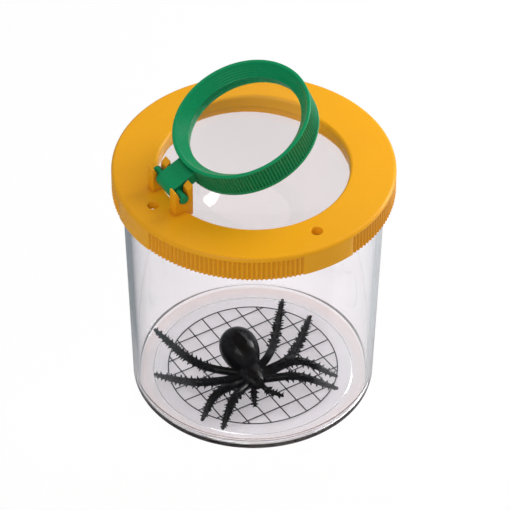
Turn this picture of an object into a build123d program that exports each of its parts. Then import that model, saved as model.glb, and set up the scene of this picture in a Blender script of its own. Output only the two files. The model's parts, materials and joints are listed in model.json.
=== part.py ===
"""Bug catcher jar: a clear jar with a measuring grid, a yellow push-on lid with a fixed lens,
a green magnifier that swings on the lid, and a loose toy spider. All sizes are in millimetres.

The origin is the middle of the jar's foot, +Z is up, the magnifier's hinge is on the -X side
and its pin lies along Y. The magnifier stands part open.
"""
import os
from math import cos, hypot, radians, sin, sqrt

from build123d import *

FULL_TURN = 360
QUARTER_TURN = 90

# Jar
JAR_HEIGHT = 68.2
JAR_FOOT_RADIUS = 31.7
JAR_RIM_RADIUS = 33.8
JAR_WALL = 1.5
JAR_FLOOR = 2.0
JAR_OUTER_CORNER = 1.0
JAR_INNER_CORNER = 1.6
JAR_RIM_ROUND = 0.4
FOOT_RECESS_RADIUS = 26.4
FOOT_RECESS_DEPTH = 0.6

# Measuring grid, printed under the floor
GRID_RADIUS = 22.5
GRID_SQUARE = 5.0
GRID_LINE = 0.3
GRID_INK = 0.1

# Lid
LID_WALL = 2.1
LID_PLATE = 2.2
LID_SKIRT = 4.8
LID_EDGE_ROUND = 0.9
LID_RIB_STOP = 1.0
SKIRT_CLEARANCE = 0.4
LID_RIB_DEPTH = 0.45
LID_RIBS_PER_ZONE = 35
LID_SMOOTH_ANGLE = 22.5
RIB_CREST_SHARE = 0.4
VIEW_RADIUS = 24.4
VIEW_RECESS = 3.0
COLLAR_WALL = 1.5
COLLAR_DEPTH = 5.6
AIR_HOLE_RADIUS = 1.5
AIR_HOLE_REACH = 29.8
AIR_HOLE_ANGLES = (90, 180, 270)

# Lens fixed in the lid
LENS_SEAT = 0.9
LENS_CLEARANCE = 0.15
LENS_FLANGE = 1.2
LENS_RISE = 2.4
SNAP_LIP = 0.35
SNAP_LIP_HEIGHT = 0.5

# Hinge: two slotted ears on the lid hold the magnifier's pin
PIN_REACH = 24.7
PIN_HEIGHT = 4.4
PIN_RADIUS = 1.25
PIN_CLEARANCE = 0.1
PIN_OVERHANG = 0.3
EAR_GAP = 0.4
EAR_WIDTH = 2.6
EAR_WALL = 1.3
EAR_ROOT = 1.5
EAR_OUTER_TOP = 3.0
EAR_INNER_TOP = 3.6
EAR_TIP = 0.5
EAR_LEAD_RISE = 1.2
EAR_SNAP = 0.12

# Magnifier: ring, tongue and pin in one moulding
OPEN_ANGLE = 22.2
RING_REACH = 24.0
RING_RADIUS = 18.35
RING_TOP = 4.0
RING_HEIGHT = 7.6
RING_LIP_HEIGHT = 0.5
RING_LIP_ROUND = 0.3
RING_LIP_WIDTH = 0.8
RING_FOOT_HEIGHT = 0.8
RING_RIBS = 132
RING_RIB_DEPTH = 0.4
RING_BORE = 15.0
RING_CONE_DEPTH = 3.1
KNUCKLE_RADIUS = 2.1
TONGUE_WIDTH = 7.4
TONGUE_THICKNESS = 3.0

# Lens in the magnifier
MAGNIFIER_FLANGE = 1.2
MAGNIFIER_SEAT = 0.8
MAGNIFIER_DROP = 1.1
MAGNIFIER_RISE = 0.4
MAGNIFIER_EDGE_GAP = 0.3

# Toy spider: each leg has hip, knee and tip places about the head, heading along +X
SPIDER_HEADING = -98.9
SPIDER_X = -5.6
SPIDER_Y = -8.9
FLOOR_GAP = 0.3
HEAD_LENGTH = 9.0
HEAD_WIDTH = 6.6
HEAD_HEIGHT = 4.6
BELLY_LENGTH = 14.0
BELLY_WIDTH = 10.2
BELLY_HEIGHT = 6.6
BELLY_TILT = 16.0
BELLY_OFFSET = 8.2
HIP_REACH = 2.4
LEG_ROOT_RADIUS = 1.4
LEG_TIP_RADIUS = 0.4
BARB_LENGTH = 0.9
BARB_PITCH = 2.1
BARB_START = 0.3
LEG_SIDES = 6
LEG_SPAN = 35.0
# hip angle, knee angle, knee reach, knee height, tip angle, tip reach, tip height:
# angles in degrees, reaches and heights as shares of LEG_SPAN
LEGS = (
    (-45, -52, 0.291, 0.137, -49, 0.497, 0.017),
    (-75, -75, 0.337, 0.143, -69, 0.514, 0.017),
    (-105, -103, 0.426, 0.137, -123, 0.746, 0.017),
    (-135, -131, 0.437, 0.137, -149, 0.943, 0.086),
    (45, 63, 0.34, 0.154, 66, 0.629, 0.017),
    (75, 90, 0.369, 0.154, 78, 0.643, 0.017),
    (105, 104, 0.366, 0.143, 127.3, 0.906, 0.017),
    (135, 131, 0.329, 0.143, 143.6, 1.0, 0.017),
)
FEELERS = (
    (-15, -20, 0.16, 0.103, -19, 0.246, 0.057),
    (15, 19, 0.169, 0.109, 33, 0.274, 0.074),
)
FEELER_ROOT_RADIUS = 0.8

# Places worked out from the sizes above
LID_UNDER = JAR_HEIGHT
LID_TOP = LID_UNDER + LID_PLATE
SKIRT_BOTTOM = LID_UNDER - LID_SKIRT
SKIRT_BORE = JAR_RIM_RADIUS + SKIRT_CLEARANCE
LID_RADIUS = SKIRT_BORE + LID_WALL
RIB_TOP = LID_TOP - LID_RIB_STOP
LENS_SEAT_RADIUS = VIEW_RADIUS + LENS_SEAT
LENS_TOP = LID_TOP - VIEW_RECESS
LENS_BOTTOM = LENS_TOP - LENS_FLANGE
SNAP_LIP_BOTTOM = LENS_BOTTOM - SNAP_LIP_HEIGHT
COLLAR_BOTTOM = LID_UNDER - COLLAR_DEPTH
PIN_Z = LID_TOP + PIN_HEIGHT
EAR_INNER_Y = TONGUE_WIDTH / 2 + EAR_GAP
PIN_LENGTH = 2 * (EAR_INNER_Y + EAR_WIDTH + PIN_OVERHANG)
RING_BOTTOM = RING_TOP - RING_HEIGHT
MAGNIFIER_SEAT_RADIUS = RING_BORE + MAGNIFIER_SEAT
MAGNIFIER_SEAT_Z = RING_TOP - RING_CONE_DEPTH - MAGNIFIER_DROP
MAGNIFIER_LOW = MAGNIFIER_SEAT_Z - MAGNIFIER_FLANGE


def polar(radius, angle):
    """Point in the plane at a radius and an angle in degrees."""
    return (radius * cos(radians(angle)), radius * sin(radians(angle)))


def turned(points):
    """Solid of revolution about Z from (radius, height) points."""
    profile = make_face(Polyline(*points, close=True))
    return revolve(Plane.XZ * profile, Axis.Z)


def grooved_run(radius, depth, start, span, grooves):
    """Points of a run of V grooves with flat crests, along an arc of the rim."""
    pitch = span / grooves
    points = []
    for groove in range(grooves):
        angle = start + groove * pitch
        crest_end = angle + RIB_CREST_SHARE * pitch
        points.append(polar(radius, angle))
        points.append(polar(radius, crest_end))
        points.append(polar(radius - depth, (crest_end + angle + pitch) / 2))
    points.append(polar(radius, start + span))
    return points


def jar_radius(height):
    """Outer radius of the jar's drafted wall at a height."""
    return JAR_FOOT_RADIUS + (JAR_RIM_RADIUS - JAR_FOOT_RADIUS) * height / JAR_HEIGHT


def make_jar():
    """Cup with a drafted wall, rounded corners and a recess inside the foot ring."""
    foot = (JAR_FOOT_RADIUS, 0)
    floor_corner = (jar_radius(JAR_FLOOR) - JAR_WALL, JAR_FLOOR)
    rim_outer = (JAR_RIM_RADIUS, JAR_HEIGHT)
    rim_inner = (JAR_RIM_RADIUS - JAR_WALL, JAR_HEIGHT)
    outline = make_face(
        Polyline(
            (0, FOOT_RECESS_DEPTH),
            (FOOT_RECESS_RADIUS, FOOT_RECESS_DEPTH),
            (FOOT_RECESS_RADIUS, 0),
            foot,
            rim_outer,
            rim_inner,
            floor_corner,
            (0, JAR_FLOOR),
            close=True,
        )
    )
    rounds = (
        (foot, JAR_OUTER_CORNER),
        (floor_corner, JAR_INNER_CORNER),
        (rim_outer, JAR_RIM_ROUND),
        (rim_inner, JAR_RIM_ROUND),
    )
    for corner, radius in rounds:
        vertex = outline.vertices().sort_by_distance(corner)[0]
        outline = fillet(vertex, radius)
    return revolve(Plane.XZ * outline, Axis.Z)


def make_grid_print():
    """Ink lines of the measuring grid: squares inside a circle, on the recessed underside."""
    ink = Circle(GRID_RADIUS + GRID_LINE / 2) - Circle(GRID_RADIUS - GRID_LINE / 2)
    offset = GRID_SQUARE / 2
    while offset < GRID_RADIUS - GRID_LINE:
        length = 2 * sqrt(GRID_RADIUS**2 - offset**2)
        for side in (-offset, offset):
            ink += Pos(side, 0) * Rectangle(GRID_LINE, length)
            ink += Pos(0, side) * Rectangle(length, GRID_LINE)
        offset += GRID_SQUARE
    return Pos(0, 0, FOOT_RECESS_DEPTH - GRID_INK) * extrude(ink, GRID_INK)


def make_lid():
    """Push-on lid: ribbed skirt, rounded plate, lens collar, air holes and the hinge's ears."""
    zone = QUARTER_TURN - LID_SMOOTH_ANGLE
    edges = []
    for quarter in range(4):
        start = quarter * QUARTER_TURN + LID_SMOOTH_ANGLE / 2
        end = start + zone
        run = grooved_run(LID_RADIUS, LID_RIB_DEPTH, start, zone, LID_RIBS_PER_ZONE)
        smooth_middle = polar(LID_RADIUS, end + LID_SMOOTH_ANGLE / 2)
        smooth_end = polar(LID_RADIUS, end + LID_SMOOTH_ANGLE)
        edges.append(Polyline(*run))
        edges.append(ThreePointArc(run[-1], smooth_middle, smooth_end))
    skirt = Pos(0, 0, SKIRT_BOTTOM) * extrude(make_face(edges), RIB_TOP - SKIRT_BOTTOM)
    cap = Pos(0, 0, RIB_TOP) * Cylinder(
        LID_RADIUS, LID_RIB_STOP, align=(Align.CENTER, Align.CENTER, Align.MIN)
    )
    cap = fillet(cap.edges().group_by(Axis.Z)[-1], LID_EDGE_ROUND)
    clear = LID_RADIUS
    hollow = turned(
        (
            (0, SKIRT_BOTTOM - clear),
            (SKIRT_BORE, SKIRT_BOTTOM - clear),
            (SKIRT_BORE, LID_UNDER),
            (LENS_SEAT_RADIUS + COLLAR_WALL, LID_UNDER),
            (LENS_SEAT_RADIUS + COLLAR_WALL, COLLAR_BOTTOM),
            (LENS_SEAT_RADIUS, COLLAR_BOTTOM),
            (LENS_SEAT_RADIUS, SNAP_LIP_BOTTOM),
            (LENS_SEAT_RADIUS - SNAP_LIP, SNAP_LIP_BOTTOM),
            (LENS_SEAT_RADIUS - SNAP_LIP, LENS_BOTTOM),
            (LENS_SEAT_RADIUS, LENS_BOTTOM),
            (LENS_SEAT_RADIUS, LENS_TOP),
            (VIEW_RADIUS, LENS_TOP),
            (VIEW_RADIUS, LID_TOP + clear),
            (0, LID_TOP + clear),
        )
    )
    lid = skirt + cap - hollow
    for angle in AIR_HOLE_ANGLES:
        x, y = polar(AIR_HOLE_REACH, angle)
        lid -= Pos(x, y, LID_TOP) * Cylinder(AIR_HOLE_RADIUS, 3 * LID_PLATE)
    for side in (-1, 1):
        lid += make_ear(side)
    return lid


def make_ear(side):
    """Hinge ear: a plate with a snap slot for the pin, the inner prong sloped as a lead-in."""
    seat = PIN_RADIUS + PIN_CLEARANCE
    half = seat + EAR_WALL
    throat = PIN_RADIUS - EAR_SNAP
    throat_top = sqrt(seat**2 - throat**2)
    base = -PIN_HEIGHT - EAR_ROOT
    outline = make_face(
        Polyline(
            (-half, base),
            (-half, EAR_OUTER_TOP),
            (-half + EAR_TIP, EAR_OUTER_TOP),
            (-throat, throat_top),
            (-throat, 0),
            (throat, 0),
            (throat, throat_top),
            (seat, EAR_INNER_TOP - EAR_LEAD_RISE),
            (half, EAR_INNER_TOP),
            (half, base),
            close=True,
        )
    )
    outline -= Circle(seat)
    ear = extrude(Plane.XZ * outline, EAR_WIDTH / 2, both=True)
    return Pos(-PIN_REACH, side * (EAR_INNER_Y + EAR_WIDTH / 2), PIN_Z) * ear


def dome(base_radius, base_z, rise):
    """Cap of a sphere that rises (or sinks) from a flat circle."""
    size = abs(rise)
    sphere_radius = (base_radius**2 + size**2) / (2 * size)
    middle_radius = base_radius / 2
    middle_rise = sqrt(sphere_radius**2 - middle_radius**2) - (sphere_radius - size)
    sign = 1 if rise > 0 else -1
    crown = (0, base_z + rise)
    edge = (base_radius, base_z)
    between = (middle_radius, base_z + sign * middle_rise)
    outline = make_face(
        [ThreePointArc(edge, between, crown), Line(crown, (0, base_z)), Line((0, base_z), edge)]
    )
    return revolve(Plane.XZ * outline, Axis.Z)


def make_lid_lens():
    """Plano-convex lens whose flange lies under the opening's edge, above the snap lip."""
    flange = Pos(0, 0, LENS_BOTTOM) * Cylinder(
        LENS_SEAT_RADIUS - LENS_CLEARANCE,
        LENS_FLANGE,
        align=(Align.CENTER, Align.CENTER, Align.MIN),
    )
    return flange + dome(VIEW_RADIUS - 2 * LENS_CLEARANCE, LENS_TOP, LENS_RISE)


def swing_place():
    """Place of the swinging magnifier: its origin on the pin, opened by the rest angle."""
    return Pos(-PIN_REACH, 0, PIN_Z) * Rot(0, -OPEN_ANGLE, 0)


def make_magnifier_frame():
    """Ribbed ring with a conical inside, a tongue with a round knuckle, and the cross pin."""
    rib_top = RING_TOP - RING_LIP_HEIGHT
    rib_bottom = RING_BOTTOM + RING_FOOT_HEIGHT
    teeth = grooved_run(RING_RADIUS, RING_RIB_DEPTH, 0, FULL_TURN, RING_RIBS)
    ring = Pos(0, 0, rib_bottom) * extrude(
        make_face(Polyline(*teeth[:-1], close=True)), rib_top - rib_bottom
    )
    ring += Pos(0, 0, RING_BOTTOM) * Cylinder(
        RING_RADIUS, RING_FOOT_HEIGHT, align=(Align.CENTER, Align.CENTER, Align.MIN)
    )
    lip = Pos(0, 0, rib_top) * Cylinder(
        RING_RADIUS, RING_LIP_HEIGHT, align=(Align.CENTER, Align.CENTER, Align.MIN)
    )
    ring += fillet(lip.edges().group_by(Axis.Z)[-1], RING_LIP_ROUND)
    tongue_end = RING_REACH - RING_BORE - MAGNIFIER_SEAT - RING_RIB_DEPTH
    tongue = Pos(tongue_end / 2 - RING_REACH, 0, KNUCKLE_RADIUS) * Box(
        tongue_end, TONGUE_WIDTH, TONGUE_THICKNESS, align=(Align.CENTER, Align.CENTER, Align.MAX)
    )
    across = Pos(-RING_REACH, 0, 0) * Rot(90, 0, 0)
    ring += tongue
    ring += across * Cylinder(KNUCKLE_RADIUS, TONGUE_WIDTH)
    ring += across * Cylinder(PIN_RADIUS, PIN_LENGTH)
    hollow = turned(
        (
            (0, RING_BOTTOM - RING_HEIGHT),
            (MAGNIFIER_SEAT_RADIUS, RING_BOTTOM - RING_HEIGHT),
            (MAGNIFIER_SEAT_RADIUS, MAGNIFIER_LOW - SNAP_LIP_HEIGHT),
            (MAGNIFIER_SEAT_RADIUS - SNAP_LIP, MAGNIFIER_LOW - SNAP_LIP_HEIGHT),
            (MAGNIFIER_SEAT_RADIUS - SNAP_LIP, MAGNIFIER_LOW),
            (MAGNIFIER_SEAT_RADIUS, MAGNIFIER_LOW),
            (MAGNIFIER_SEAT_RADIUS, MAGNIFIER_SEAT_Z),
            (RING_BORE, MAGNIFIER_SEAT_Z),
            (RING_BORE, RING_TOP - RING_CONE_DEPTH),
            (RING_RADIUS - RING_LIP_WIDTH, RING_TOP),
            (RING_RADIUS - RING_LIP_WIDTH, RING_TOP + RING_HEIGHT),
            (0, RING_TOP + RING_HEIGHT),
        )
    )
    return swing_place() * Pos(RING_REACH, 0, 0) * (ring - hollow)


def make_magnifier_lens():
    """Biconvex lens whose flange lies in the ring between its shoulder and its snap lip."""
    flange = Pos(0, 0, MAGNIFIER_SEAT_Z) * Cylinder(
        MAGNIFIER_SEAT_RADIUS - LENS_CLEARANCE,
        MAGNIFIER_FLANGE,
        align=(Align.CENTER, Align.CENTER, Align.MAX),
    )
    clear_radius = RING_BORE - MAGNIFIER_EDGE_GAP
    lens = flange + dome(clear_radius, MAGNIFIER_SEAT_Z, MAGNIFIER_RISE)
    lens += dome(clear_radius, MAGNIFIER_LOW, -MAGNIFIER_RISE)
    return swing_place() * Pos(RING_REACH, 0, 0) * lens


def make_limb(limb, root_radius):
    """Curved tapering limb from hip to knee to tip, with barbs along both of its sides."""
    hip_angle, knee_angle, knee_reach, knee_height, tip_angle, tip_reach, tip_height = limb
    hip = (*polar(HIP_REACH, hip_angle), HEAD_HEIGHT)
    knee = (*polar(knee_reach * LEG_SPAN, knee_angle), knee_height * LEG_SPAN)
    tip = (*polar(tip_reach * LEG_SPAN, tip_angle), tip_height * LEG_SPAN)
    route = Spline(hip, knee, tip)
    barbs = max(2, int(route.length * (1 - BARB_START) / BARB_PITCH))
    stations = [(0.0, 0.0)]
    step = (1 - BARB_START) / barbs
    for barb in range(barbs):
        share = BARB_START + barb * step
        stations.append((share, 0.0))
        stations.append((share + 0.5 * step, BARB_LENGTH))
    stations.append((1.0, 0.0))
    sections = []
    for share, barb in stations:
        centre = route @ share
        along = route % share
        flat = hypot(along.X, along.Y)
        sideways = Vector(-along.Y / flat, along.X / flat, 0)
        radius = root_radius + (LEG_TIP_RADIUS - root_radius) * share**2
        points = []
        for corner in range(LEG_SIDES):
            on_side = corner % (LEG_SIDES // 2) == 0
            reach = radius + (barb * (1 - share / 2) if on_side else 0)
            points.append(polar(reach, corner * FULL_TURN / LEG_SIDES))
        section = make_face(Polyline(*points, close=True))
        sections.append(Plane(centre, x_dir=sideways, z_dir=along) * section)
    return loft(sections, ruled=True)


def make_egg(length, width):
    """Egg shape about X, fuller towards its back end."""
    back, front = (-length / 2, 0), (length / 2, 0)
    top = (-length / 12, width / 2)
    curve = Spline(back, top, front, tangents=((0, 1), (0, -1)))
    return revolve(make_face([curve, Line(front, back)]), Axis.X)


def make_spider():
    """Toy spider: head shield, tilted abdomen, eight barbed legs and two feelers."""
    spider = Pos(0, 0, HEAD_HEIGHT) * make_egg(HEAD_LENGTH, HEAD_WIDTH)
    belly = make_egg(BELLY_LENGTH, BELLY_WIDTH)
    spider += Pos(-BELLY_OFFSET, 0, BELLY_HEIGHT) * Rot(0, BELLY_TILT, 0) * belly
    for limb in LEGS:
        spider += make_limb(limb, LEG_ROOT_RADIUS)
    for limb in FEELERS:
        spider += make_limb(limb, FEELER_ROOT_RADIUS)
    return Pos(SPIDER_X, SPIDER_Y, JAR_FLOOR + FLOOR_GAP) * Rot(0, 0, SPIDER_HEADING) * spider


PIECES = {
    "jar": make_jar,
    "grid_print": make_grid_print,
    "lid": make_lid,
    "lid_lens": make_lid_lens,
    "magnifier_frame": make_magnifier_frame,
    "magnifier_lens": make_magnifier_lens,
    "spider": make_spider,
}

os.makedirs("parts", exist_ok=True)
for node, make in PIECES.items():
    export_step(make(), f"parts/{node}.step")
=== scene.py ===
"""Dresses the bug catcher jar: clear jar, printed grid, yellow lid, lenses, magnifier and toy spider."""
import json
from math import asin, atan2, ceil, cos, pi, radians, sin, sqrt, tan

import bmesh
import bpy
from bpy.props import FloatProperty, FloatVectorProperty, IntProperty, PointerProperty
from mathutils import Matrix, Vector


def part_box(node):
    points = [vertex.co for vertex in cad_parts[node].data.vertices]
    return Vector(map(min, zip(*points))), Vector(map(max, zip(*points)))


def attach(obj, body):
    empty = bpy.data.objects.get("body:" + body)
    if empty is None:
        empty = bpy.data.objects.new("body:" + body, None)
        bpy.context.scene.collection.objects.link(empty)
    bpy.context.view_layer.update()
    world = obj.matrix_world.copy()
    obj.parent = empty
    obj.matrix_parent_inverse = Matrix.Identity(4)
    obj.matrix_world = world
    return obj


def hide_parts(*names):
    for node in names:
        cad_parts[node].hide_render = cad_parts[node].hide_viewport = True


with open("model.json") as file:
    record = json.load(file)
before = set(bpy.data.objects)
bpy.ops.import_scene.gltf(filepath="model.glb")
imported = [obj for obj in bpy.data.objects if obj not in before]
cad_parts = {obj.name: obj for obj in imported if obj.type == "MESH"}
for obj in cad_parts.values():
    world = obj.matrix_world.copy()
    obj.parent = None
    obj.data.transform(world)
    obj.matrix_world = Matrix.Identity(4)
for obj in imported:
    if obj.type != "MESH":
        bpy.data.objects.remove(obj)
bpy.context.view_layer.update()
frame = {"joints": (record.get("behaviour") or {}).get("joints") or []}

bl_info = {
    "name": "Bug catcher jar",
    "version": (1, 0, 0),
    "blender": (4, 5, 0),
    "location": "View3D > Sidebar > Bug Jar",
    "description": "Builds the jar, its lid, lenses, magnifier, grid and toy spider around the packed frame",
    "category": "Object",
}

MM = 0.001
JAR_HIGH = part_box("jar")[1]
GRID_LOW, GRID_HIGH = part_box("grid_print")
LID_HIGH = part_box("lid")[1]
LENS_LOW, LENS_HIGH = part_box("lid_lens")
HINGE = next(joint for joint in frame["joints"] if joint["name"] == "magnifier_swing")
PIN = Vector(HINGE["pos_m"])
OPEN_ANGLE = -radians(HINGE["range_deg"][0])
SWING = Matrix.Translation(PIN) @ Matrix.Rotation(-OPEN_ANGLE, 4, "Y")

# Heights, edges and clearances that several pieces share
LENS_FLANGE = 1.2 * MM
LID_OVER_LENS = 3.0 * MM
RIM_Z = JAR_HIGH.z
LENS_SEAT_Z = LENS_LOW.z + LENS_FLANGE
LID_TOP_Z = LENS_SEAT_Z + LID_OVER_LENS
EDGE_BREAK = 0.2 * MM
SNAP_REACH = 0.35 * MM
SNAP_HEIGHT = 0.5 * MM
LENS_MARGIN = 0.3 * MM
LENS_PLAY = 0.15 * MM
QUARTER = pi / 2


# Colours and properties

def linear(hex_code):
    """Linear RGB of an sRGB hex colour."""
    channels = [int(hex_code[i:i + 2], 16) / 255 for i in (1, 3, 5)]
    return tuple(c / 12.92 if c <= 0.04045 else ((c + 0.055) / 1.055) ** 2.4 for c in channels)


def size(name, description, millimetres):
    """Length property, given in millimetres and kept in metres."""
    metres = millimetres * MM
    return FloatProperty(name=name, description=description, default=metres, precision=5, unit="LENGTH")


def colour(name, description, hex_code):
    """Colour property from an sRGB hex value."""
    rgb = linear(hex_code)
    return FloatVectorProperty(
        name=name, description=description, default=rgb, min=0.0, max=1.0, size=3, subtype="COLOR"
    )


class JarSizes(bpy.types.PropertyGroup):
    rim_radius: size("Rim radius", "Outer radius of the wall at the rim", 33.8)
    foot_radius: size("Foot radius", "Outer radius of the wall at the foot", 31.7)
    wall: size("Wall", "Thickness of the drafted wall", 1.5)
    floor: size("Floor", "Height of the floor's upper face", 2.0)
    recess_radius: size("Recess radius", "Inner radius of the foot ring", 26.4)
    recess_depth: size("Recess depth", "Height of the floor's recessed underside", 0.6)
    foot_round: size("Foot round", "Rounding of the foot's outer edge", 1.0)
    rim_round: size("Rim round", "Rounding of the rim's two edges", 0.4)
    floor_round: size("Floor round", "Rounding between the floor and the wall inside", 1.6)
    grid_square: size("Grid square", "Side of one square of the measuring grid", 5.0)
    grid_line: size("Grid line", "Width of one printed line", 0.3)


class LidSizes(bpy.types.PropertyGroup):
    radius: size("Radius", "Outer radius of the lid", 36.3)
    skirt: size("Skirt", "Height of the skirt below the lid's plate", 4.8)
    bore: size("Skirt bore", "Inner radius of the skirt", 34.2)
    view_radius: size("View radius", "Radius of the viewing opening", 24.4)
    seat_radius: size("Lens seat radius", "Radius of the pocket that holds the lens", 25.3)
    collar_wall: size("Collar wall", "Thickness of the collar round the lens", 1.5)
    collar_depth: size("Collar depth", "Height of the collar below the lid's plate", 5.6)
    edge_round: size("Edge round", "Rounding of the top's outer and inner edges", 0.9)
    rib_stop: size("Rib stop", "Distance from the lid's top to the ribs' upper ends", 1.0)
    rib_depth: size("Rib depth", "Depth of the grooves between the ribs", 0.45)
    ribs: IntProperty(name="Ribs", description="Ribs in each quarter of the skirt", default=35, min=1)
    smooth_angle: FloatProperty(
        name="Smooth angle",
        description="Plain stretch between two runs of ribs",
        default=radians(22.5),
        unit="ROTATION",
    )
    air_hole_radius: size("Air hole radius", "Radius of each air hole at the top", 1.5)
    air_hole_reach: size("Air hole reach", "Distance of the air holes from the axis", 29.8)


class EarSizes(bpy.types.PropertyGroup):
    width: size("Width", "Width of one ear along the pin", 2.6)
    gap: size("Gap", "Space between an ear and the tongue", 0.4)
    prong: size("Prong", "Thickness of a prong beside the pin", 1.3)
    play: size("Play", "Space round the pin in its seat", 0.1)
    snap: size("Snap", "How far each side of the slot's mouth grips past the pin", 0.12)
    root: size("Root", "How deep the ear goes into the lid's plate", 1.5)
    drop: size("Drop", "How much lower the outer prong ends", 0.6)
    flat: size("Flat", "Width of the outer prong's flat end", 0.5)
    lead_in: size("Lead-in", "Height of the inner prong's slope", 1.2)


class MagnifierSizes(bpy.types.PropertyGroup):
    reach: size("Reach", "Distance from the pin to the middle of the ring", 24.0)
    radius: size("Radius", "Outer radius of the ring", 18.35)
    top: size("Top", "Height of the lip above the pin when closed", 4.0)
    height: size("Height", "Height of the ring", 7.6)
    lip_height: size("Lip height", "Height of the plain lip above the ribs", 0.5)
    lip_width: size("Lip width", "Width of the lip's flat top", 0.8)
    foot_height: size("Foot height", "Height of the plain band below the ribs", 0.8)
    bore: size("Bore", "Radius of the clear opening", 15.0)
    cone_depth: size("Cone depth", "Depth of the conical inside", 3.1)
    lens_drop: size("Lens drop", "Distance from the cone down to the lens's seat", 1.1)
    lens_seat: size("Lens seat", "Width of the ledge that the lens's flange lies under", 0.8)
    lens_flange: size("Lens flange", "Thickness of the lens at its edge", 1.2)
    lens_rise: size("Lens rise", "Rise of each face of the lens", 0.4)
    rib_depth: size("Rib depth", "Depth of the grooves between the ribs", 0.4)
    ribs: IntProperty(name="Ribs", description="Ribs in each quarter of the ring", default=33, min=1)
    tongue_width: size("Tongue width", "Width of the tongue and its knuckle", 7.4)
    tongue_thickness: size("Tongue thickness", "Thickness of the tongue", 3.0)
    knuckle_radius: size("Knuckle radius", "Radius of the round end about the pin", 2.1)
    pin_radius: size("Pin radius", "Radius of the cross pin", 1.25)
    pin_length: size("Pin length", "Length of the cross pin", 14.0)


class SpiderSizes(bpy.types.PropertyGroup):
    leg_radius: size("Leg radius", "Radius of a leg near its knee", 1.12)
    feeler_radius: size("Feeler radius", "Radius of a feeler near its knee", 0.75)
    barb_length: size("Barb length", "Length of a barb near the body", 1.15)
    barb_pitch: size("Barb pitch", "Distance between two barbs on a side", 1.7)


class Finishes(bpy.types.PropertyGroup):
    lid_yellow: colour("Lid yellow", "Moulded colour of the lid", "#F5AC19")
    magnifier_green: colour("Magnifier green", "Moulded colour of the magnifier", "#07965E")
    # Painted shade: the next two colours are mixed into corners, grooves and recesses by ambient occlusion
    lid_painted_shade: colour("Lid shade", "Dusty colour in the lid's corners", "#C6741F")
    magnifier_painted_shade: colour("Magnifier shade", "Dusty colour in the magnifier's corners", "#04452B")
    spider_black: colour("Spider black", "Moulded colour of the spider", "#030305")
    clear_tint: colour("Clear tint", "Tint that the clear plastic takes on in depth", "#BEC1C8")
    lens_cast: colour("Lens cast", "Warm cast of the light that the lid's lens lets through", "#F6F2EF")
    ink: colour("Ink", "Printed grid", "#131316")


class BugJar(bpy.types.PropertyGroup):
    jar: PointerProperty(type=JarSizes)
    lid: PointerProperty(type=LidSizes)
    ear: PointerProperty(type=EarSizes)
    magnifier: PointerProperty(type=MagnifierSizes)
    spider: PointerProperty(type=SpiderSizes)
    finish: PointerProperty(type=Finishes)


# Mesh tools

def rounded(points, steps=6):
    """Closed outline with its corners rounded: each point is (radius or x, height, corner radius).

    A guard point past each end of a round keeps the flats beside it shaded as flats.
    """
    outline = []
    for place, (x, z, radius) in enumerate(points):
        corner = Vector((x, z))
        if radius == 0:
            outline.append(corner)
            continue
        before = (Vector(points[place - 1][:2]) - corner).normalized()
        after = (Vector(points[(place + 1) % len(points)][:2]) - corner).normalized()
        half = before.angle(after) / 2
        centre = corner + (before + after).normalized() * (radius / sin(half))
        reach = radius / tan(half)
        guard = 0.1 * radius
        first = corner + before * reach - centre
        last = corner + after * reach - centre
        start = atan2(first.y, first.x)
        turn = (atan2(last.y, last.x) - start + pi) % (2 * pi) - pi
        outline.append(corner + before * (reach + guard))
        for step in range(steps + 1):
            angle = start + turn * step / steps
            outline.append(centre + radius * Vector((cos(angle), sin(angle))))
        outline.append(corner + after * (reach + guard))
    return outline


def even_angles(columns):
    """Angles of a full turn in equal steps."""
    return [2 * pi * column / columns for column in range(columns)]


def ribbed_angles(ribs, smooth_angle, steps=8):
    """Angles of a full turn with the same number of steps on every rib, quarter by quarter."""
    run = QUARTER - smooth_angle
    plain_steps = ceil(smooth_angle / radians(1.5))
    angles = []
    for quarter in range(4):
        start = quarter * QUARTER - smooth_angle / 2
        angles += [start + smooth_angle * step / plain_steps for step in range(plain_steps)]
        start += smooth_angle
        angles += [start + run * step / (ribs * steps) for step in range(ribs * steps)]
    return angles


def lathe(name, outline, angles, rim=None):
    """Closed mesh turned about Z from a closed outline; rim(point) marks the rows that carry ribs."""
    shape = bmesh.new()
    mark = shape.verts.layers.float.new("rim")
    rows = []
    for point in map(Vector, outline):
        radius, height = point
        if radius < 1e-9:
            rows.append([shape.verts.new((0, 0, height))] * len(angles))
            continue
        row = [shape.verts.new((radius * cos(a), radius * sin(a), height)) for a in angles]
        if rim and rim(point):
            for vertex in row:
                vertex[mark] = 1.0
        rows.append(row)
    columns = len(angles)
    for lower, upper in zip(rows, rows[1:] + rows[:1]):
        for column in range(columns):
            after = (column + 1) % columns
            corners = dict.fromkeys((lower[column], lower[after], upper[after], upper[column]))
            if len(corners) > 2:
                shape.faces.new(list(corners))
    bmesh.ops.recalc_face_normals(shape, faces=shape.faces)
    return finished(shape, name)


def prism(name, outline, width, bevel):
    """Closed mesh of an XZ outline drawn out along Y, with its edges broken by a small bevel."""
    shape = bmesh.new()
    front = shape.faces.new([shape.verts.new((x, -width / 2, z)) for x, z in outline])
    pushed = bmesh.ops.extrude_face_region(shape, geom=[front])
    moved = [item for item in pushed["geom"] if isinstance(item, bmesh.types.BMVert)]
    bmesh.ops.translate(shape, verts=moved, vec=(0, width, 0))
    bmesh.ops.recalc_face_normals(shape, faces=shape.faces)
    sharp = [edge for edge in shape.edges if edge.calc_face_angle(0) > radians(40)]
    bmesh.ops.bevel(
        shape, geom=sharp, offset=bevel, segments=3, affect="EDGES", profile=0.5, clamp_overlap=True
    )
    return finished(shape, name)


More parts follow.
